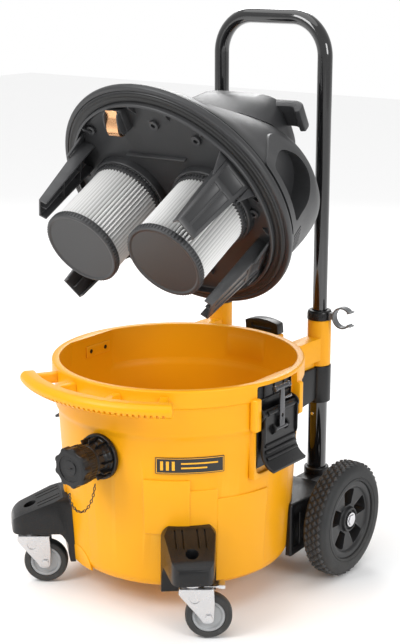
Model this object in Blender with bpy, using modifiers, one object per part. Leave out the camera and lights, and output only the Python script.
"""A wheeled shop vacuum with its motor head lifted off and tilted back over the open tank.

Metres, +Z up. The origin is on the tank's axis at floor level. The machine's front faces -Y.
"""
import math

import bmesh
import bpy
from mathutils import Matrix, Vector

# ---- driving dimensions ----
GAP = 0.0003                # air between two pieces that touch
RUN = 0.0006                # radial play of a turning or sliding fit

TANK_BOTTOM_Z = 0.050
TANK_FLOOR = 0.005
TANK_RIM_Z = 0.391
TANK_R_BOTTOM = 0.190       # outside, at the bottom
TANK_R_STEP = 0.204         # outside, under the upper band
TANK_WALL = 0.0042
TANK_STEP_Z = 0.306
BAND_R = 0.209              # the thicker upper band
BAND_Z = 0.315
RIM_R = 0.213               # the rim's outer edge
RIM_BAND_Z = 0.363
RIM_R_IN = 0.200
RIM_LIP = 0.006             # height of the lip that runs over the latch pockets

POCKET_X = 0.1970           # floor of the flat pocket behind each latch
POCKET_WALL = 0.0045
POCKET_FRONT = -0.060
POCKET_BACK = 0.050
POCKET_LOW_Z = 0.236

LEVER_X = 0.2135            # pivot of each latch lever
LEVER_Z = 0.338
LEVER_FRONT = -0.057
LEVER_BACK = 0.038
LATCH_PIN_R = 0.0030
HOOK_X = 0.2190             # pivot of each latch hook
HOOK_Z = 0.310
HOOK_TOP_Z = 0.3775

GRAB_R = 0.2585             # centre line of the front grab handle
GRAB_WIDTH = 0.026
GRAB_HEIGHT = 0.023
GRAB_TOP_Z = 0.3850
GRAB_SPAN = 36.0            # degrees each way from the front
GRAB_RIBS = (-32.0, -14.0, 11.0, 32.0)
GRAB_RIB_WIDTH = 0.014

INLET_Z = 0.268
INLET_BORE_R = 0.0205
INLET_PIPE_R = 0.0235
INLET_SPIGOT_R = 0.0265
INLET_FLANGE_R = 0.038
INLET_FLANGE_THICK = 0.007
INLET_REACH = 0.050         # spigot length in front of the tank
CAP_R = 0.0315
CAP_LOBE = 0.0022
CAP_LOBES = 9
CAP_SKIRT = 0.012
CAP_FACE = 0.016
CHAIN_D = 0.005

POST_X = 0.109
POST_Y = 0.270
HANDLE_TUBE_R = 0.013
HANDLE_TOP_Z = 0.939        # centre line of the crossbar
HANDLE_BEND = 0.066
HANDLE_INSERT = 0.070       # length left inside the outer tube
POST_TUBE_R = 0.0172
POST_TUBE_WALL = 0.0028
POST_FOOT_Z = 0.095         # bottom of the outer tube
TOWER_R = 0.0212
TOWER_LOW_Z = 0.330
TOWER_TOP_Z = 0.4135
COLLAR_HEIGHT = 0.017
COLLAR_R = 0.0222
BRACKET_R = 0.0225
BRACKET_LOW_Z = 0.283
FOOT_R = 0.0225
FOOT_TOP_Z = 0.136

CLIP_R = 0.0165             # inside radius of the wand clip
CLIP_WALL = 0.003
CLIP_WIDTH = 0.014
CLIP_X = 0.158

WHEEL_R = 0.100
WHEEL_WIDTH = 0.044
WHEEL_OUT_X = 0.254
WHEEL_Y = 0.161
HUB_R = 0.0680
HUB_WIDTH = 0.036
HUB_SLOTS = 5
HUB_RIM = 0.008             # thickness of the hub's outer rim
HUB_BOSS_R = 0.0195
AXLE_R = 0.0065
CARRIAGE_X = 0.190
CARRIAGE_FRONT_Y = 0.066
CARRIAGE_BACK_Y = 0.226
CARRIAGE_LOW_Z = 0.046
CARRIAGE_TOP_Z = 0.142

CASTER_X = 0.174
CASTER_Y = -0.1905
CASTER_R = 0.0375
CASTER_WIDTH = 0.022
CASTER_TRAIL = 0.026
CASTER_TURN = 37.0          # degrees, how both casters stand
CASTER_HUB_R = 0.0262
CASTER_BOLT_R = 0.004
FORK_TOP_Z = 0.0865
FORK_THICK = 0.0028
LEG_LOW_Z = 0.0970
LEG_TIP_Z = 0.129
LEG_TANK_Z = 0.163
LEG_FOOT_Z = 0.047
LEG_REACH = 0.031           # tip beyond the swivel axis
LEG_WIDE = 0.090
LEG_TIP_WIDE = 0.062

HEAD_TILT = -61.0           # degrees about +X, front edge up
HEAD_PLACE = (0.0, -0.011, 0.656)
HEAD_R = 0.2185
HEAD_FLANGE = 0.012
HEAD_PLATE = 0.006
SPIGOT_R = 0.1925
SPIGOT_DEEP = 0.012
SEAL_THICK = 0.004
FILTER_X = 0.0846
FILTER_Y = -0.004
FILTER_R = 0.0645
FILTER_CAP_R = 0.0685
FILTER_LONG = 0.152         # end face below the head's underside
FILTER_CAP_LONG = 0.012
SOCKET_WALL = 0.004         # the collar that each filter screws into
SOCKET_DEEP = 0.014
SHELL = 0.0035
DECK_TOP = 0.238
GRIP_DEEP_X = 0.158         # bottom of the hand recess on each side of the housing
GRIP_FRONT = -0.066
GRIP_BACK = 0.050
GRIP_LOW = 0.030
GRIP_HIGH = 0.122
KNOB_R = 0.019
KNOB_Y = 0.012
HEAD_LEG_LONG = 0.144
HEAD_LEG_R = 0.167
HEAD_LEG_LEAN = 0.009       # how far the tip leans in, where the filters leave room
BOLT_Y = -0.040             # cross bolt under the motor
BOLT_Z = 0.020
BOLT_R = 0.0035
MOTOR_R = 0.056
MOTOR_LOW = 0.048
MOTOR_TOP = 0.128
MOTOR_PLATE = 0.0045
LUG_X = 0.046               # inner face of the two lugs that carry the cross bolt
LUG_THICK = 0.006

COLOURS = {
    "yellow": ((0.90, 0.47, 0.03), 0.42, 0.0),
    "black": ((0.022, 0.022, 0.024), 0.45, 0.0),
    "charcoal": ((0.060, 0.061, 0.064), 0.50, 0.0),
    "gloss": ((0.010, 0.010, 0.011), 0.16, 0.0),
    "rubber": ((0.045, 0.046, 0.050), 0.75, 0.0),
    "zinc": ((0.62, 0.63, 0.64), 0.35, 1.0),
    "chrome": ((0.75, 0.75, 0.76), 0.15, 1.0),
    "grey": ((0.42, 0.43, 0.44), 0.45, 0.0),
    "white": ((0.82, 0.82, 0.80), 0.80, 0.0),
    "copper": ((0.85, 0.48, 0.24), 0.30, 1.0),
}

for old in list(bpy.data.objects):
    bpy.data.objects.remove(old)
PARTS = bpy.data.collections.new("shop_vacuum")
TOOLS = bpy.data.collections.new("cutters")
bpy.context.scene.collection.children.link(PARTS)
bpy.context.scene.collection.children.link(TOOLS)


# ---- small modelling helpers ----
def material(name, kind):
    """One material for one part, from the small list of finishes."""
    colour, rough, metal = COLOURS[kind]
    mat = bpy.data.materials.new(name)
    mat.use_nodes = True
    shader = mat.node_tree.nodes["Principled BSDF"]
    shader.inputs["Base Color"].default_value = (*colour, 1.0)
    shader.inputs["Roughness"].default_value = rough
    shader.inputs["Metallic"].default_value = metal
    mat.diffuse_color = (*colour, 1.0)
    return mat


def add(name, bm, kind=None, parent=None):
    """Make an object of a bmesh: a part when it has a finish, or a cutter."""
    mesh = bpy.data.meshes.new(name)
    bm.to_mesh(mesh)
    bm.free()
    obj = bpy.data.objects.new(name, mesh)
    if kind:
        mesh.materials.append(material(name, kind))
        PARTS.objects.link(obj)
    else:
        TOOLS.objects.link(obj)
        obj.hide_render = True
        obj.display_type = "WIRE"
    obj.parent = parent
    return obj


def box(low, high):
    """A box between two corners."""
    bm = bmesh.new()
    bmesh.ops.create_cube(bm, size=1.0)
    size = Vector(high) - Vector(low)
    middle = (Vector(high) + Vector(low)) / 2
    scale = Matrix.Diagonal((*size, 1.0))
    bmesh.ops.transform(bm, matrix=Matrix.Translation(middle) @ scale, verts=bm.verts)
    return bm


AXES = {
    "z": Matrix.Identity(4),
    "x": Matrix.Rotation(math.radians(90), 4, "Y"),
    "y": Matrix.Rotation(math.radians(-90), 4, "X"),
}


def rod(radius, start, end, axis="z", place=(0.0, 0.0), sides=32):
    """A cylinder along an axis, from start to end; place is its centre on the two other axes."""
    bm = bmesh.new()
    bmesh.ops.create_cone(bm, cap_ends=True, segments=sides, radius1=radius, radius2=radius,
                          depth=end - start)
    middle = (start + end) / 2
    centre = {
        "z": (place[0], place[1], middle),
        "y": (place[0], middle, place[1]),
        "x": (middle, place[0], place[1]),
    }[axis]
    bmesh.ops.transform(bm, matrix=Matrix.Translation(centre) @ AXES[axis], verts=bm.verts)
    return bm


def outline(points, low, high, axis="z"):
    """A flat outline pulled from low to high along an axis; points are on the two other axes."""
    bm = bmesh.new()
    place = {
        "z": lambda u, v, w: (u, v, w),
        "y": lambda u, v, w: (u, w, v),
        "x": lambda u, v, w: (w, u, v),
    }[axis]
    ring = [bm.verts.new(place(u, v, low)) for u, v in points]
    face = bm.faces.new(ring)
    grown = bmesh.ops.extrude_face_region(bm, geom=[face])
    shift = Vector(place(0.0, 0.0, high - low))
    tops = [item for item in grown["geom"] if isinstance(item, bmesh.types.BMVert)]
    bmesh.ops.translate(bm, vec=shift, verts=tops)
    bmesh.ops.recalc_face_normals(bm, faces=bm.faces)
    return bm


def turned(name, profile, kind=None, parent=None, steps=48, axis="z", place=(0.0, 0.0, 0.0)):
    """A turned shape. The profile runs down its outer side; points are radius and height."""
    bm = bmesh.new()
    verts = [bm.verts.new((radius, 0.0, height)) for radius, height in profile]
    for first, second in zip(verts, verts[1:]):
        bm.edges.new((first, second))
    if profile[0][0] > 0:
        bm.edges.new((verts[-1], verts[0]))
    obj = add(name, bm, kind, parent)
    screw = obj.modifiers.new("turn", "SCREW")
    screw.steps = steps
    screw.render_steps = steps
    screw.use_merge_vertices = True
    screw.merge_threshold = 0.00001
    obj.rotation_euler = AXES[axis].to_euler()
    obj.location = place
    return obj


def ring(name, inner, outer, low, high, kind=None, parent=None, steps=32, axis="z", place=(0.0, 0.0, 0.0)):
    """A plain ring or tube."""
    profile = [(inner, low), (inner, high), (outer, high), (outer, low)]
    return turned(name, profile, kind, parent, steps, axis, place)


def combine(obj, tool, operation):
    """Put a Boolean modifier on a part, with a shape that stays hidden."""
    step = obj.modifiers.new(tool.name, "BOOLEAN")
    step.operation = operation
    step.object = tool
    step.solver = "EXACT"


def cut(obj, name, bm, parent=None):
    """Cut a shape out of a part."""
    combine(obj, add(obj.name + "_cut_" + name, bm, parent=parent), "DIFFERENCE")


def join(obj, name, bm, parent=None):
    """Join a shape to a part."""
    combine(obj, add(obj.name + "_with_" + name, bm, parent=parent), "UNION")


def pipe(name, points, radius, kind=None, parent=None, around=6):
    """A round bar along a list of points."""
    curve = bpy.data.curves.new(name, "CURVE")
    curve.dimensions = "3D"
    curve.bevel_depth = radius
    curve.bevel_resolution = around
    curve.use_fill_caps = True
    spline = curve.splines.new("POLY")
    spline.points.add(len(points) - 1)
    for knot, point in zip(spline.points, points):
        knot.co = (*point, 1.0)
    obj = bpy.data.objects.new(name, curve)
    if kind:
        curve.materials.append(material(name, kind))
        PARTS.objects.link(obj)
    else:
        TOOLS.objects.link(obj)
        obj.hide_render = True
        obj.display_type = "WIRE"
    obj.parent = parent
    return obj


def spin(bm, degrees):
    """Turn a shape about the Z axis."""
    turn = Matrix.Rotation(math.radians(degrees), 3, "Z")
    bmesh.ops.rotate(bm, cent=(0, 0, 0), matrix=turn, verts=bm.verts)


def arc(centre, radius, start, end, count):
    """Points along an arc, in degrees."""
    turns = [math.radians(start + (end - start) * i / count) for i in range(count + 1)]
    return [(centre[0] + radius * math.cos(t), centre[1] + radius * math.sin(t)) for t in turns]


def sector(inner, outer, start, end, low, high, count=16):
    """A slice of a flat ring."""
    points = arc((0, 0), outer, start, end, count) + arc((0, 0), inner, end, start, count)
    return outline(points, low, high)


def smooth(points, count):
    """Points read from a smooth curve through a hand-made route."""
    knots = [Vector(p) for p in points]
    knots = [knots[0] * 2 - knots[1]] + knots + [knots[-1] * 2 - knots[-2]]
    spans = len(points) - 1
    result = []
    for i in range(count + 1):
        t = i / count * spans
        k = min(int(t), spans - 1)
        t -= k
        a, b, c, d = knots[k:k + 4]
        result.append((b * 2 + (c - a) * t + (a * 2 - b * 5 + c * 4 - d) * t * t
                       + (b * 3 - a - c * 3 + d) * t ** 3) / 2)
    return result


def loft(sections, sides):
    """An open-bottomed cap through flattened circles: (z, half width, half depth, centre y, squareness)."""
    bm = bmesh.new()
    rings = []
    for height, wide, deep, shift, power in sections:
        ring_verts = []
        for i in range(sides):
            turn = 2 * math.pi * i / sides
            c, s = math.cos(turn), math.sin(turn)
            grow = (abs(c) ** power + abs(s) ** power) ** (-1 / power)
            ring_verts.append(bm.verts.new((wide * grow * c, shift + deep * grow * s, height)))
        rings.append(ring_verts)
    for lower, upper in zip(rings, rings[1:]):
        for i in range(sides):
            j = (i + 1) % sides
            bm.faces.new((lower[i], lower[j], upper[j], upper[i]))
    bm.faces.new(rings[-1])
    return bm


def closed_loft(sections, sides):
    """The same cap with its bottom filled."""
    bm = loft(sections, sides)
    bmesh.ops.holes_fill(bm, edges=[e for e in bm.edges if e.is_boundary], sides=0)
    bmesh.ops.recalc_face_normals(bm, faces=bm.faces)
    return bm


def tank_radius(z):
    """The tank's outside radius under its upper band."""
    share = (z - TANK_BOTTOM_Z) / (TANK_STEP_Z - TANK_BOTTOM_Z)
    return TANK_R_BOTTOM + share * (TANK_R_STEP - TANK_R_BOTTOM)


def clear_of(radius, sides=64):
    """The radius of a many-sided cutter whose flats stay outside a circle."""
    return radius / math.cos(math.pi / sides)


def tank_body_cutter(extra):
    """The tank's outer shape, a little larger, for what fits against it."""
    bm = bmesh.new()
    low, high = 0.02, TANK_STEP_Z
    bmesh.ops.create_cone(bm, cap_ends=True, segments=64, radius1=clear_of(tank_radius(low)) + extra,
                          radius2=clear_of(tank_radius(high)) + extra, depth=high - low)
    bmesh.ops.translate(bm, vec=(0, 0, (low + high) / 2), verts=bm.verts)
    return bm


def rim_cutter(extra):
    """A cylinder around the rim."""
    return rod(clear_of(RIM_R) + extra, 0.2, TANK_RIM_Z + 0.1, sides=64)


# ---- tank ----
def make_tank():
    """The open vessel with its stepped upper band, latch pockets and two rear towers."""
    floor = TANK_BOTTOM_Z + TANK_FLOOR
    heel = TANK_BOTTOM_Z + 0.008
    inner_floor_r = TANK_R_BOTTOM - TANK_WALL
    profile = [
        (0.0, floor), (inner_floor_r - 0.012, floor), (inner_floor_r, floor + 0.012),
        (TANK_R_STEP - TANK_WALL - 0.002, TANK_STEP_Z + 0.010), (RIM_R_IN, TANK_STEP_Z + 0.020),
        (RIM_R_IN, TANK_RIM_Z), (RIM_R, TANK_RIM_Z), (RIM_R, RIM_BAND_Z), (BAND_R, RIM_BAND_Z - 0.002),
        (BAND_R, BAND_Z), (TANK_R_STEP, TANK_STEP_Z), (tank_radius(heel), heel),
        (TANK_R_BOTTOM - 0.008, TANK_BOTTOM_Z), (0.0, TANK_BOTTOM_Z),
    ]
    tank = turned("tank_shell", profile, "yellow", steps=48)
    for side, mark in ((1, "R"), (-1, "L")):
        inner = side * (POCKET_X - POCKET_WALL)
        outer = side * (RIM_R_IN + 0.002)
        wall = box((min(inner, outer), POCKET_FRONT - 0.004, POCKET_LOW_Z - 0.006),
                   (max(inner, outer), POCKET_BACK + 0.004, TANK_RIM_Z))
        join(tank, "pocket_wall_" + mark, wall)
        far = side * (RIM_R + 0.02)
        near = side * POCKET_X
        pocket = box((min(near, far), POCKET_FRONT, POCKET_LOW_Z),
                     (max(near, far), POCKET_BACK, TANK_RIM_Z - RIM_LIP))
        cut(tank, "pocket_" + mark, pocket)
        post = (side * POST_X, POST_Y)
        join(tank, "tower_" + mark, rod(TOWER_R, TOWER_LOW_Z, TOWER_TOP_Z, place=post, sides=24))
        web = box((post[0] - 0.014, 0.176, TOWER_LOW_Z + 0.012),
                  (post[0] + 0.014, POST_Y, TANK_RIM_Z - 0.008))
        join(tank, "web_" + mark, web)
        bore = rod(POST_TUBE_R + GAP, TOWER_LOW_Z - 0.01, TOWER_TOP_Z + 0.01, place=post, sides=24)
        cut(tank, "bore_" + mark, bore)
    ledge = box((-0.040, 0.190, 0.340), (0.040, 0.262, 0.3765))
    join(tank, "rear_ledge", ledge)
    inside = rod(RIM_R_IN - 0.0001, TANK_STEP_Z + 0.021, TANK_RIM_Z + 0.05, sides=48)
    keep = box((-POCKET_X + POCKET_WALL, -0.3, 0.2), (POCKET_X - POCKET_WALL, 0.3, 0.6))
    common = add("tank_inside", inside)
    combine(common, add("tank_inside_sides", keep), "INTERSECT")
    combine(tank, common, "DIFFERENCE")
    hole = rod(INLET_PIPE_R + GAP, -0.25, -0.15, axis="y", place=(0.0, INLET_Z), sides=32)
    cut(tank, "inlet", hole)


def make_tank_fittings():
    """What is fixed to the tank: grab handle, label, rear block and inside plates."""
    low = GRAB_TOP_Z - GRAB_HEIGHT
    inner, outer = GRAB_R - GRAB_WIDTH / 2, GRAB_R + GRAB_WIDTH / 2
    bar = sector(inner, outer, -90 - GRAB_SPAN, -90 + GRAB_SPAN, low, GRAB_TOP_Z, 16)
    handle = add("front_grab_handle", bar, "yellow")
    for number, turn in enumerate(GRAB_RIBS):
        half = GRAB_RIB_WIDTH / 2
        rib = box((-half, -GRAB_R, low), (half, -RIM_R_IN, GRAB_TOP_Z - 0.002))
        spin(rib, turn)
        join(handle, "rib_%d" % number, rib)
    cut(handle, "rim", rim_cutter(GAP))

    middle_z, half_high, half_wide = 0.2655, 0.0135, 16.0
    widest = max(tank_radius(middle_z - half_high), tank_radius(middle_z + half_high))
    radius = clear_of(widest) + GAP
    label = sector(radius, radius + 0.0012, -47 - half_wide, -47 + half_wide, middle_z - half_high,
                   middle_z + half_high, 12)
    add("tank_label", label, "black")

    crown = arc((0.002, 0.300), 0.102, 72, 108, 8)
    block = [(-0.034, 0.377), (0.038, 0.377), (0.038, 0.394)] + crown + [(-0.034, 0.394)]
    add("rear_block", outline(block, 0.243, 0.262, axis="y"), "black")
    for side, mark in ((1, "R"), (-1, "L")):
        face = POCKET_X - POCKET_WALL - GAP
        low_x, high_x = sorted((side * (face - 0.0022), side * face))
        add("latch_plate_" + mark, box((low_x, -0.018, 0.354), (high_x, 0.044, 0.374)), "yellow")


def make_inlet():
    """The hose inlet, its screw cap, the cap's swivel eye and the chain that keeps it."""
    widest = max(tank_radius(INLET_Z - INLET_FLANGE_R), tank_radius(INLET_Z + INLET_FLANGE_R))
    face = -(widest + 2 * GAP)
    tip = face - INLET_FLANGE_THICK - INLET_REACH
    back = -(tank_radius(INLET_Z) - TANK_WALL - 0.010)
    front = face - INLET_FLANGE_THICK
    profile = [
        (INLET_BORE_R, back), (INLET_BORE_R, tip), (INLET_SPIGOT_R - 0.002, tip),
        (INLET_SPIGOT_R, tip + 0.002), (INLET_SPIGOT_R, front - 0.006), (0.0300, front),
        (INLET_FLANGE_R, front + 0.001), (INLET_FLANGE_R, face), (INLET_PIPE_R, face), (INLET_PIPE_R, back),
    ]
    profile = [(radius, -y) for radius, y in profile]
    inlet = turned("inlet_flange", profile, "black", steps=28, place=(0, 0, INLET_Z))
    inlet.rotation_euler = (math.radians(90), 0, 0)

    mouth = tip + 0.004 + CAP_SKIRT
    crown = tip - 0.004
    lobed = []
    for i in range(45):
        turn = 2 * math.pi * i / 45
        reach = CAP_R + CAP_LOBE * math.cos(CAP_LOBES * turn)
        lobed.append((reach * math.cos(turn), INLET_Z + reach * math.sin(turn)))
    cap = add("inlet_cap", outline(lobed, crown - CAP_FACE + 0.004, crown + 0.004, axis="y"), "black")
    join(cap, "skirt", rod(CAP_R - 0.0005, crown, mouth, axis="y", place=(0.0, INLET_Z)))
    hollow = rod(INLET_SPIGOT_R + RUN, tip - GAP * 2, mouth + 0.01, axis="y", place=(0.0, INLET_Z))
    cut(cap, "hollow", hollow)
    nose = crown - CAP_FACE + 0.004 - GAP
    eye = add("cap_eye", rod(0.0075, nose - 0.004, nose, axis="y", place=(0.0, INLET_Z), sides=16), "black")
    join(eye, "strap", box((-0.0045, nose - 0.0032, INLET_Z - 0.036), (0.0045, nose - 0.0008, INLET_Z)))

    chain_y = nose - 0.002
    route = [(0.0, chain_y, INLET_Z - 0.0365 - CHAIN_D / 2), (0.001, chain_y + 0.002, 0.212),
             (0.003, chain_y + 0.012, 0.196), (0.004, chain_y + 0.026, 0.189),
             (0.004, chain_y + 0.040, 0.193), (0.003, chain_y + 0.052, 0.206),
             (0.001, chain_y + 0.061, 0.2265)]
    pipe("cap_chain", smooth(route, 20), CHAIN_D / 2, "black", around=2)


# ---- latches ----
def make_latch(side, mark):
    """One side latch: a base with two ears, a lever with a curled grip and a hook with a roller."""
    def lay(low, high):
        (x1, y1, z1), (x2, y2, z2) = low, high
        xs = sorted((side * x1, side * x2))
        return box((xs[0], y1, z1), (xs[1], y2, z2))

    def shape(points, start, end):
        return outline([(side * x, z) for x, z in points], start, end, axis="y")

    back_x = POCKET_X + GAP
    ear = 0.0035
    plate = lay((back_x, LEVER_FRONT - 0.0005, 0.246), (back_x + 0.003, LEVER_BACK + 0.0005, 0.382))
    base = add("latch_base_" + mark, plate, "black")
    ear_shape = [(back_x, 0.322), (LEVER_X, 0.330), (LEVER_X + 0.006, 0.334), (LEVER_X + 0.006, 0.342),
                 (LEVER_X, 0.347), (back_x, 0.352)]
    for tag, start in (("a", LEVER_FRONT - GAP - ear + 0.001), ("b", LEVER_BACK + GAP - 0.001)):
        join(base, "ear_" + tag, shape(ear_shape, start, start + ear))
    span = (LEVER_FRONT - 0.02, LEVER_BACK + 0.02)
    pivot = (side * LEVER_X, LEVER_Z)
    cut(base, "pin_hole", rod(LATCH_PIN_R + RUN / 2, *span, axis="y", place=pivot, sides=12))

    front, end = LEVER_FRONT + 0.0013, LEVER_BACK - 0.0013
    blade = [(-0.006, 0.3445), (-0.001, 0.3465), (0.001, 0.3400), (0.001, 0.272), (0.006, 0.262),
             (0.015, 0.2535), (0.022, 0.2500), (0.021, 0.2455), (0.010, 0.2490), (-0.001, 0.2600),
             (-0.006, 0.272)]
    blade = [(LEVER_X + x, z) for x, z in blade]
    lever = add("latch_lever_" + mark, shape(blade, front, end), "black")
    pin = rod(LATCH_PIN_R, LEVER_FRONT - 0.0015, LEVER_BACK + 0.0015, axis="y", place=pivot, sides=12)
    join(lever, "pin", pin)
    for tag, start in (("a", -0.033), ("b", 0.004)):
        lug = [(LEVER_X, 0.300), (HOOK_X + 0.004, 0.306), (HOOK_X + 0.004, 0.314), (LEVER_X, 0.320)]
        join(lever, "lug_" + tag, shape(lug, start, start + 0.005))

    cross = rod(LATCH_PIN_R, -0.0276, 0.0036, axis="y", place=(side * HOOK_X, HOOK_Z), sides=12)
    hook = add("latch_hook_" + mark, cross, "chrome")
    join(hook, "bar", lay((HOOK_X - 0.0012, -0.0190, HOOK_Z), (HOOK_X + 0.0018, -0.0050, HOOK_TOP_Z)))
    top = (side * (HOOK_X - 0.0005), HOOK_TOP_Z)
    join(hook, "roller", rod(0.0052, -0.0330, 0.0090, axis="y", place=top, sides=16))


# ---- running gear ----
def make_front_leg(side, mark):
    """A moulded leg that hugs the tank's foot and carries one caster at its tip."""
    reach = math.hypot(CASTER_X, CASTER_Y) + LEG_REACH
    root = TANK_R_BOTTOM - 0.012
    profile = [(root, LEG_TANK_Z + 0.002), (tank_radius(LEG_TANK_Z) + 0.004, LEG_TANK_Z),
               (reach - 0.012, LEG_TIP_Z + 0.003), (reach - 0.003, LEG_TIP_Z - 0.003),
               (reach, LEG_TIP_Z - 0.010), (reach, LEG_LOW_Z), (reach - 0.070, LEG_LOW_Z),
               (reach - 0.0840, LEG_LOW_Z - 0.001), (reach - 0.0900, 0.084), (reach - 0.0935, 0.060),
               (reach - 0.0945, LEG_FOOT_Z), (root, LEG_FOOT_Z)]
    bm = outline([(-r, z) for r, z in profile], -0.5, 0.5, axis="x")
    tank_edge = TANK_R_BOTTOM
    for vert in bm.verts:
        share = max(0.0, (-vert.co.y - tank_edge) / (reach - tank_edge))
        half = (LEG_WIDE + (LEG_TIP_WIDE - LEG_WIDE) * share) / 2
        vert.co.x = half if vert.co.x > 0 else -half
    turn = math.degrees(math.atan2(side * CASTER_X, -CASTER_Y))
    leg = add("front_leg_" + mark, bm, "black")
    leg.rotation_euler = (0, 0, math.radians(turn))
    spot = (0.0, -math.hypot(CASTER_X, CASTER_Y))
    hole = rod(0.011, LEG_TIP_Z - 0.018, LEG_TIP_Z + 0.05, place=spot, sides=20)
    spin(hole, turn)
    cut(leg, "tank", tank_body_cutter(GAP))
    cut(leg, "hole", hole)


def make_caster(side, mark, braked):
    """Stem, fork, wheel disc and tyre; the fork's origin is on its swivel axis."""
    spot = (side * CASTER_X, CASTER_Y)
    stem = [(0.0, LEG_LOW_Z - GAP), (0.0170, LEG_LOW_Z - GAP), (0.0170, LEG_LOW_Z - 0.004),
            (0.0120, LEG_LOW_Z - 0.006), (0.0120, FORK_TOP_Z + GAP), (0.0, FORK_TOP_Z + GAP)]
    turned("caster_stem_" + mark, stem, "zinc", steps=24, place=(*spot, 0.0))
    swivel = bpy.data.objects.new("caster_swivel_" + mark, None)
    PARTS.objects.link(swivel)
    swivel.location = (*spot, 0.0)
    swivel.rotation_euler = (0, 0, math.radians(CASTER_TURN))
    half = CASTER_WIDTH / 2 + 0.0012
    cheek = [(-0.020, FORK_TOP_Z), (-0.022, 0.077), (0.012, 0.036), (0.020, 0.0285), (0.028, 0.0270),
             (0.034, 0.034), (0.036, 0.060), (0.034, FORK_TOP_Z)]
    cheeks = outline(cheek, -half - FORK_THICK, half + FORK_THICK, axis="y")
    fork = add("caster_fork_" + mark, cheeks, "zinc", swivel)
    cut(fork, "inside", box((-0.06, -half, 0.0), (0.06, half, FORK_TOP_Z - 0.0035)), swivel)
    spot = (CASTER_TRAIL, CASTER_R)
    bolt = rod(CASTER_BOLT_R, -half - 0.006, half + 0.006, axis="y", place=spot, sides=12)
    join(fork, "bolt", bolt, swivel)
    where = (CASTER_TRAIL, 0.0, CASTER_R)
    ring("caster_hub_" + mark, CASTER_BOLT_R + RUN, CASTER_HUB_R, -0.009, 0.009, "grey", swivel,
         24, "y", where)
    edge = CASTER_WIDTH / 2
    tread = [(CASTER_HUB_R + GAP, -edge), (CASTER_HUB_R + GAP, edge),
             (CASTER_R - 0.003, edge), (CASTER_R, edge - 0.005),
             (CASTER_R, -edge + 0.005), (CASTER_R - 0.003, -edge)]
    turned("caster_tyre_" + mark, tread, "rubber", swivel, 24, "y", where)
    if braked:
        arm = [(0.0190, FORK_TOP_Z + 0.0008), (0.0370, FORK_TOP_Z + 0.0008), (0.0450, FORK_TOP_Z - 0.0015),
               (0.0520, FORK_TOP_Z - 0.0015), (0.0520, FORK_TOP_Z + 0.0050), (0.0420, FORK_TOP_Z + 0.0050),
               (0.0370, FORK_TOP_Z + 0.0032), (0.0190, FORK_TOP_Z + 0.0032)]
        add("caster_brake", outline(arm, -0.0105, 0.0105, axis="y"), "zinc", swivel)


def make_rear_wheel(side, mark):
    """A spoked hub with its tyre on a stub axle."""
    centre = side * (WHEEL_OUT_X - WHEEL_WIDTH / 2)
    where = (centre, WHEEL_Y, WHEEL_R)
    half = HUB_WIDTH / 2
    rim = HUB_R - HUB_RIM
    shape = [(AXLE_R + RUN, -half), (AXLE_R + RUN, half), (HUB_BOSS_R, half),
             (HUB_BOSS_R + 0.002, half - 0.010),
             (rim - 0.002, half - 0.013), (rim, half), (HUB_R, half), (HUB_R, -half), (rim, -half),
             (rim - 0.002, -half + 0.013), (HUB_BOSS_R + 0.002, -half + 0.010), (HUB_BOSS_R, -half)]
    hub = turned("wheel_hub_" + mark, shape, "black", steps=30, axis="x", place=where)
    for i in range(HUB_SLOTS):
        window = sector(HUB_BOSS_R + 0.007, rim - 0.0055, -17, 17, -0.03, 0.03, 2)
        spin(window, 360 / HUB_SLOTS * i + 18)
        bmesh.ops.transform(window, matrix=Matrix.Translation(where) @ AXES["x"], verts=window.verts)
        cut(hub, "window_%d" % i, window)
    edge = WHEEL_WIDTH / 2
    bead, shoulder = HUB_R + 0.006, WHEEL_R - 0.010
    tyre = [(HUB_R + GAP, -edge + 0.003), (HUB_R + GAP, edge - 0.003), (bead, edge),
            (shoulder, edge - 0.001),
            (WHEEL_R, edge - 0.008), (WHEEL_R, -edge + 0.008), (shoulder, -edge + 0.001), (bead, -edge)]
    turned("wheel_tyre_" + mark, tyre, "rubber", steps=36, axis="x", place=where)
    inner, outer = sorted((side * 0.150, side * (WHEEL_OUT_X - 0.001)))
    bar = rod(AXLE_R, inner, outer, axis="x", place=(WHEEL_Y, WHEEL_R), sides=16)
    axle = add("rear_axle_" + mark, bar, "chrome")
    inner, outer = sorted((side * (centre * side + half + GAP), side * (WHEEL_OUT_X - 0.0005)))
    join(axle, "nut", rod(0.0115, inner, outer, axis="x", place=(WHEEL_Y, WHEEL_R), sides=12))


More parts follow.
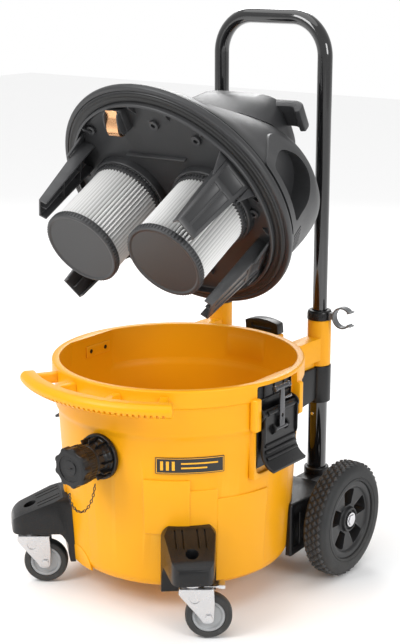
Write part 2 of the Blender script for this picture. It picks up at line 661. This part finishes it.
def make_carriage():
    """The saddle behind the tank that holds the stub axles and the feet of the posts."""
    saddle = outline([(CARRIAGE_FRONT_Y, CARRIAGE_LOW_Z), (CARRIAGE_BACK_Y, CARRIAGE_LOW_Z + 0.010),
                      (CARRIAGE_BACK_Y, CARRIAGE_TOP_Z - 0.016),
                      (CARRIAGE_BACK_Y - 0.05, CARRIAGE_TOP_Z - 0.004),
                      (CARRIAGE_FRONT_Y, CARRIAGE_TOP_Z)], -CARRIAGE_X, CARRIAGE_X, axis="x")
    carriage = add("rear_carriage", saddle, "black")
    for side, mark in ((1, "R"), (-1, "L")):
        post = (side * POST_X, POST_Y)
        arm = box((post[0] - 0.018, 0.2, 0.080), (post[0] + 0.018, POST_Y, FOOT_TOP_Z - 0.012))
        join(carriage, "arm_" + mark, arm)
        join(carriage, "cup_" + mark, rod(FOOT_R, 0.080, FOOT_TOP_Z, place=post, sides=24))
        low, high = sorted((side * (CARRIAGE_X - 0.02), side * (WHEEL_OUT_X - WHEEL_WIDTH - 0.0025)))
        join(carriage, "boss_" + mark, rod(0.020, low, high, axis="x", place=(WHEEL_Y, WHEEL_R), sides=20))
    cut(carriage, "tank", tank_body_cutter(GAP))
    for side, mark in ((1, "R"), (-1, "L")):
        bore = rod(POST_TUBE_R + GAP, POST_FOOT_Z - GAP, FOOT_TOP_Z + 0.05,
                   place=(side * POST_X, POST_Y), sides=24)
        cut(carriage, "bore_" + mark, bore)
        low, high = sorted((side * (0.150 - GAP), side * 0.25))
        bore = rod(AXLE_R + GAP, low, high, axis="x", place=(WHEEL_Y, WHEEL_R), sides=16)
        cut(carriage, "axle_" + mark, bore)


# ---- push handle ----
def make_posts():
    """Outer tubes, collars and brackets, and the U-shaped handle that slides in them."""
    for side, mark in ((1, "R"), (-1, "L")):
        place = (side * POST_X, POST_Y, 0.0)
        spot = place[:2]
        ring("post_tube_" + mark, POST_TUBE_R - POST_TUBE_WALL, POST_TUBE_R, POST_FOOT_Z,
             TOWER_TOP_Z - 0.001, "gloss", steps=24, place=place)
        ring("post_collar_" + mark, HANDLE_TUBE_R + RUN, COLLAR_R, TOWER_TOP_Z + GAP,
             TOWER_TOP_Z + GAP + COLLAR_HEIGHT, "black", steps=24, place=place)
        top = TOWER_LOW_Z - GAP
        clamp = rod(BRACKET_R, BRACKET_LOW_Z, top, place=spot, sides=24)
        bracket = add("post_bracket_" + mark, clamp, "black")
        arm = [(0.192, 0.262), (POST_Y, BRACKET_LOW_Z + 0.012), (POST_Y, top), (0.192, top)]
        join(bracket, "arm", outline(arm, spot[0] - 0.009, spot[0] + 0.009, axis="x"))
        tube = rod(POST_TUBE_R + GAP, BRACKET_LOW_Z - 0.01, TOWER_LOW_Z + 0.01, place=spot, sides=24)
        cut(bracket, "tube", tube)
        cut(bracket, "tank", tank_body_cutter(GAP))
        cut(bracket, "band", rod(clear_of(BAND_R) + GAP, TANK_STEP_Z - 0.001, TANK_RIM_Z, sides=64))
    low = TOWER_TOP_Z - HANDLE_INSERT
    corner = HANDLE_TOP_Z - HANDLE_BEND
    path = [(POST_X, POST_Y, low)]
    path += [(x, POST_Y, z) for x, z in arc((POST_X - HANDLE_BEND, corner), HANDLE_BEND, 0, 90, 6)]
    path += [(-x, y, z) for x, y, z in reversed(path)]
    pipe("push_handle", path, HANDLE_TUBE_R, "gloss", around=4)

    middle = TOWER_TOP_Z + GAP + COLLAR_HEIGHT / 2
    centre = (CLIP_X, middle)
    points = arc(centre, CLIP_R + CLIP_WALL, 42, 318, 14) + arc(centre, CLIP_R, 318, 42, 14)
    jaw = outline(points, POST_Y - CLIP_WIDTH / 2, POST_Y + CLIP_WIDTH / 2, axis="y")
    clip = add("wand_clip", jaw, "grey")
    stalk = box((POST_X + COLLAR_R - 0.004, POST_Y - 0.005, middle - 0.006),
                (CLIP_X - CLIP_R - 0.001, POST_Y + 0.005, middle + 0.006))
    join(clip, "stalk", stalk)
    collar = rod(COLLAR_R + GAP, middle - 0.02, middle + 0.02, place=(POST_X, POST_Y), sides=24)
    cut(clip, "collar", collar)


# ---- head ----
DOME = [(HEAD_FLANGE - 0.006, 0.2125, 0.2125, 0.0, 2.0), (0.030, 0.2080, 0.2050, 0.004, 2.0),
        (0.060, 0.2020, 0.1860, 0.016, 2.0), (0.095, 0.1970, 0.1640, 0.032, 2.1),
        (0.125, 0.1910, 0.1440, 0.042, 2.2), (0.150, 0.1760, 0.1250, 0.048, 2.3),
        (0.172, 0.1480, 0.1020, 0.046, 2.4), (0.188, 0.1100, 0.0720, 0.040, 2.4),
        (0.195, 0.0600, 0.0400, 0.038, 2.2)]


def grown_dome(extra):
    """The dome's sections, moved out or in by a little."""
    top = DOME[-1][0]
    return [(z + extra * z / top, wide + extra, deep + extra, shift, power)
            for z, wide, deep, shift, power in DOME]


def make_head():
    """The motor head, laid out level in its own frame and then carried by one empty."""
    frame = bpy.data.objects.new("head_frame", None)
    PARTS.objects.link(frame)
    frame.location = HEAD_PLACE
    frame.rotation_euler = (math.radians(HEAD_TILT), 0, 0)

    profile = [(0.0, HEAD_PLATE), (0.190, HEAD_PLATE), (0.190, HEAD_FLANGE), (HEAD_R - 0.002, HEAD_FLANGE),
               (HEAD_R, HEAD_FLANGE - 0.002), (HEAD_R, 0.0), (SPIGOT_R, 0.0), (SPIGOT_R, -SPIGOT_DEEP),
               (SPIGOT_R - 0.005, -SPIGOT_DEEP), (SPIGOT_R - 0.005, 0.0), (0.0, 0.0)]
    base = turned("head_base", profile, "charcoal", frame, 48)
    socket_r = FILTER_CAP_R + SOCKET_WALL
    for side, mark in ((1, "R"), (-1, "L")):
        socket = rod(socket_r, -SOCKET_DEEP, 0.001, place=(side * FILTER_X, FILTER_Y))
        socket = add("head_socket_" + mark, socket, parent=frame)
        combine(base, socket, "UNION")
    for side, mark in ((1, "R"), (-1, "L")):
        cut(base, "seat_" + mark, rod(FILTER_CAP_R, -0.03, -GAP, place=(side * FILTER_X, FILTER_Y)), frame)
        cut(base, "air_" + mark, rod(0.030, -0.03, 0.03, place=(side * FILTER_X, FILTER_Y), sides=24), frame)
    holder = outline([(-0.1800, 0.001), (-0.1800, -0.016), (-0.140, -0.016), (-0.140, 0.001)],
                     -0.060, -0.028, axis="x")
    join(base, "strip_holder", holder, frame)
    for side, mark in ((1, "R"), (-1, "L")):
        low, high = sorted((side * LUG_X, side * (LUG_X + LUG_THICK)))
        lug = box((low, BOLT_Y - 0.007, HEAD_PLATE - 0.001), (high, BOLT_Y + 0.007, BOLT_Z + 0.006))
        join(base, "lug_" + mark, lug, frame)
    bolt_hole = rod(BOLT_R + RUN / 2, -0.08, 0.08, axis="x", place=(BOLT_Y, BOLT_Z), sides=12)
    cut(base, "bolt_hole", bolt_hole, frame)

    ring("head_seal", SPIGOT_R + GAP * 2, SPIGOT_R + 0.014, -SEAL_THICK, -GAP, "rubber", frame, 48)

    shell = add("head_housing", loft(DOME, 36), "charcoal", frame)
    thick = shell.modifiers.new("wall", "SOLIDIFY")
    thick.thickness = SHELL
    thick.offset = -1.0
    cut(shell, "foot", box((-0.3, -0.3, -0.05), (0.3, 0.3, HEAD_FLANGE + GAP)), frame)
    for side, mark in ((1, "R"), (-1, "L")):
        low, high = sorted((side * GRIP_DEEP_X, side * 0.25))
        wall = box((low, GRIP_FRONT, GRIP_LOW), (high, GRIP_BACK, GRIP_HIGH))
        wall = add("grip_wall_" + mark, wall, parent=frame)
        within = add("dome_" + mark, closed_loft(grown_dome(-SHELL / 2), 36), parent=frame)
        combine(wall, within, "INTERSECT")
        combine(shell, wall, "UNION")
        low, high = sorted((side * (GRIP_DEEP_X + SHELL), side * 0.25))
        recess = box((low, GRIP_FRONT + SHELL, GRIP_LOW + SHELL),
                     (high, GRIP_BACK - SHELL, GRIP_HIGH - SHELL))
        cut(shell, "grip_" + mark, recess, frame)

    levels = [(0.140, 0.112, 0.080, 0.004, 4.0), (0.190, 0.104, 0.074, 0.006, 4.0),
              (DECK_TOP - 0.006, 0.092, 0.062, 0.006, 4.0), (DECK_TOP, 0.084, 0.054, 0.006, 4.0)]
    deck = add("head_deck", closed_loft(levels, 28), "charcoal", frame)
    horn = outline([(0.080, 0.212), (0.108, 0.219), (0.124, 0.216), (0.131, 0.204), (0.140, 0.206),
                    (0.137, 0.224), (0.122, DECK_TOP - 0.003), (0.080, DECK_TOP - 0.004)],
                   -0.046, -0.004, axis="y")
    join(deck, "cord_horn", horn, frame)
    cut(deck, "dome", closed_loft(grown_dome(GAP * 3), 36), frame)

    legs = (("FL", 206.0, HEAD_LEG_LONG), ("FR", -26.0, HEAD_LEG_LONG), ("RL", 148.5, HEAD_LEG_LONG + 0.014),
            ("RR", 31.5, HEAD_LEG_LONG + 0.008))
    channel = [(0.014, -0.029), (-0.010, -0.029), (-0.010, -0.024), (0.009, -0.024), (0.009, 0.024),
               (-0.010, 0.024), (-0.010, 0.029), (0.014, 0.029)]
    for mark, turn, long in legs:
        spot = Vector((HEAD_LEG_R * math.cos(math.radians(turn)), HEAD_LEG_R * math.sin(math.radians(turn))))
        room = min((spot - Vector((x, FILTER_Y))).length for x in (-FILTER_X, FILTER_X)) - FILTER_CAP_R
        lean = max(0.0, min(HEAD_LEG_LEAN, room - 0.012))
        bm = outline(channel, -long, -GAP)
        for vert in bm.verts:
            share = (vert.co.z + long) / long
            vert.co.x = vert.co.x * (0.6 + 0.4 * share) - lean * (1 - share) + HEAD_LEG_R
            vert.co.y *= 0.68 + 0.32 * share
        leg = add("head_leg_" + mark, bm, "charcoal", frame)
        leg.rotation_euler = (0, 0, math.radians(turn))
        for side, hand in ((1, "R"), (-1, "L")):
            socket = rod(socket_r + GAP, -SOCKET_DEEP - GAP, 0.01, place=(side * FILTER_X, FILTER_Y))
            cut(leg, "socket_" + hand, socket, frame)

    strip = [(-0.183, -0.0165), (-0.183, -0.0180), (-0.170, -0.0200), (-0.156, -0.0280), (-0.146, -0.0300),
             (-0.138, -0.0240), (-0.138, -0.0165), (-0.1395, -0.0165), (-0.1395, -0.0230), (-0.147, -0.0285),
             (-0.156, -0.0262), (-0.169, -0.0182), (-0.178, -0.0165)]
    add("ground_strip", outline(strip, -0.056, -0.032, axis="x"), "copper", frame)

    for side, mark in ((1, "R"), (-1, "L")):
        where = (side * FILTER_X, FILTER_Y, 0.0)
        low = -FILTER_LONG + FILTER_CAP_LONG + GAP
        ring("filter_pleats_" + mark, 0.042, FILTER_R, low, -GAP * 3, "white", frame, 32, "z", where)
        cap = rod(FILTER_CAP_R - 0.0003, -FILTER_LONG, -FILTER_LONG + FILTER_CAP_LONG, place=where[:2])
        add("filter_cap_" + mark, cap, "black", frame)

    ring("motor_plate", 0.012, GRIP_DEEP_X - GAP, MOTOR_LOW - MOTOR_PLATE, MOTOR_LOW - GAP, "black",
         frame, 24)
    can = [(0.0050, MOTOR_LOW), (0.0050, MOTOR_TOP), (MOTOR_R - 0.006, MOTOR_TOP),
           (MOTOR_R, MOTOR_TOP - 0.006),
           (MOTOR_R, MOTOR_LOW)]
    turned("motor", can, "zinc", frame, 24)
    wheel = [(0.0, MOTOR_TOP - 0.010), (0.0040, MOTOR_TOP - 0.010), (0.0040, 0.040),
             (0.052, 0.0385), (0.052, 0.029), (0.0, 0.029)]
    turned("impeller", wheel, "grey", frame, 24)
    cross_bolt = rod(BOLT_R, -0.055, 0.055, axis="x", place=(BOLT_Y, BOLT_Z), sides=12)
    add("motor_cross_bolt", cross_bolt, "zinc", frame)
    seat = DECK_TOP + GAP
    dial = add("power_knob", rod(KNOB_R, seat, seat + 0.009, place=(0.0, KNOB_Y), sides=20), "black", frame)
    grip = box((-0.004, KNOB_Y - KNOB_R + 0.002, seat + 0.008),
               (0.004, KNOB_Y + KNOB_R - 0.002, seat + 0.015))
    join(dial, "grip", grip, frame)


make_tank()
make_tank_fittings()
make_inlet()
for hand, name in ((1, "R"), (-1, "L")):
    make_latch(hand, name)
    make_front_leg(hand, name)
    make_caster(hand, name, name == "R")
    make_rear_wheel(hand, name)
make_carriage()
make_posts()
make_head()
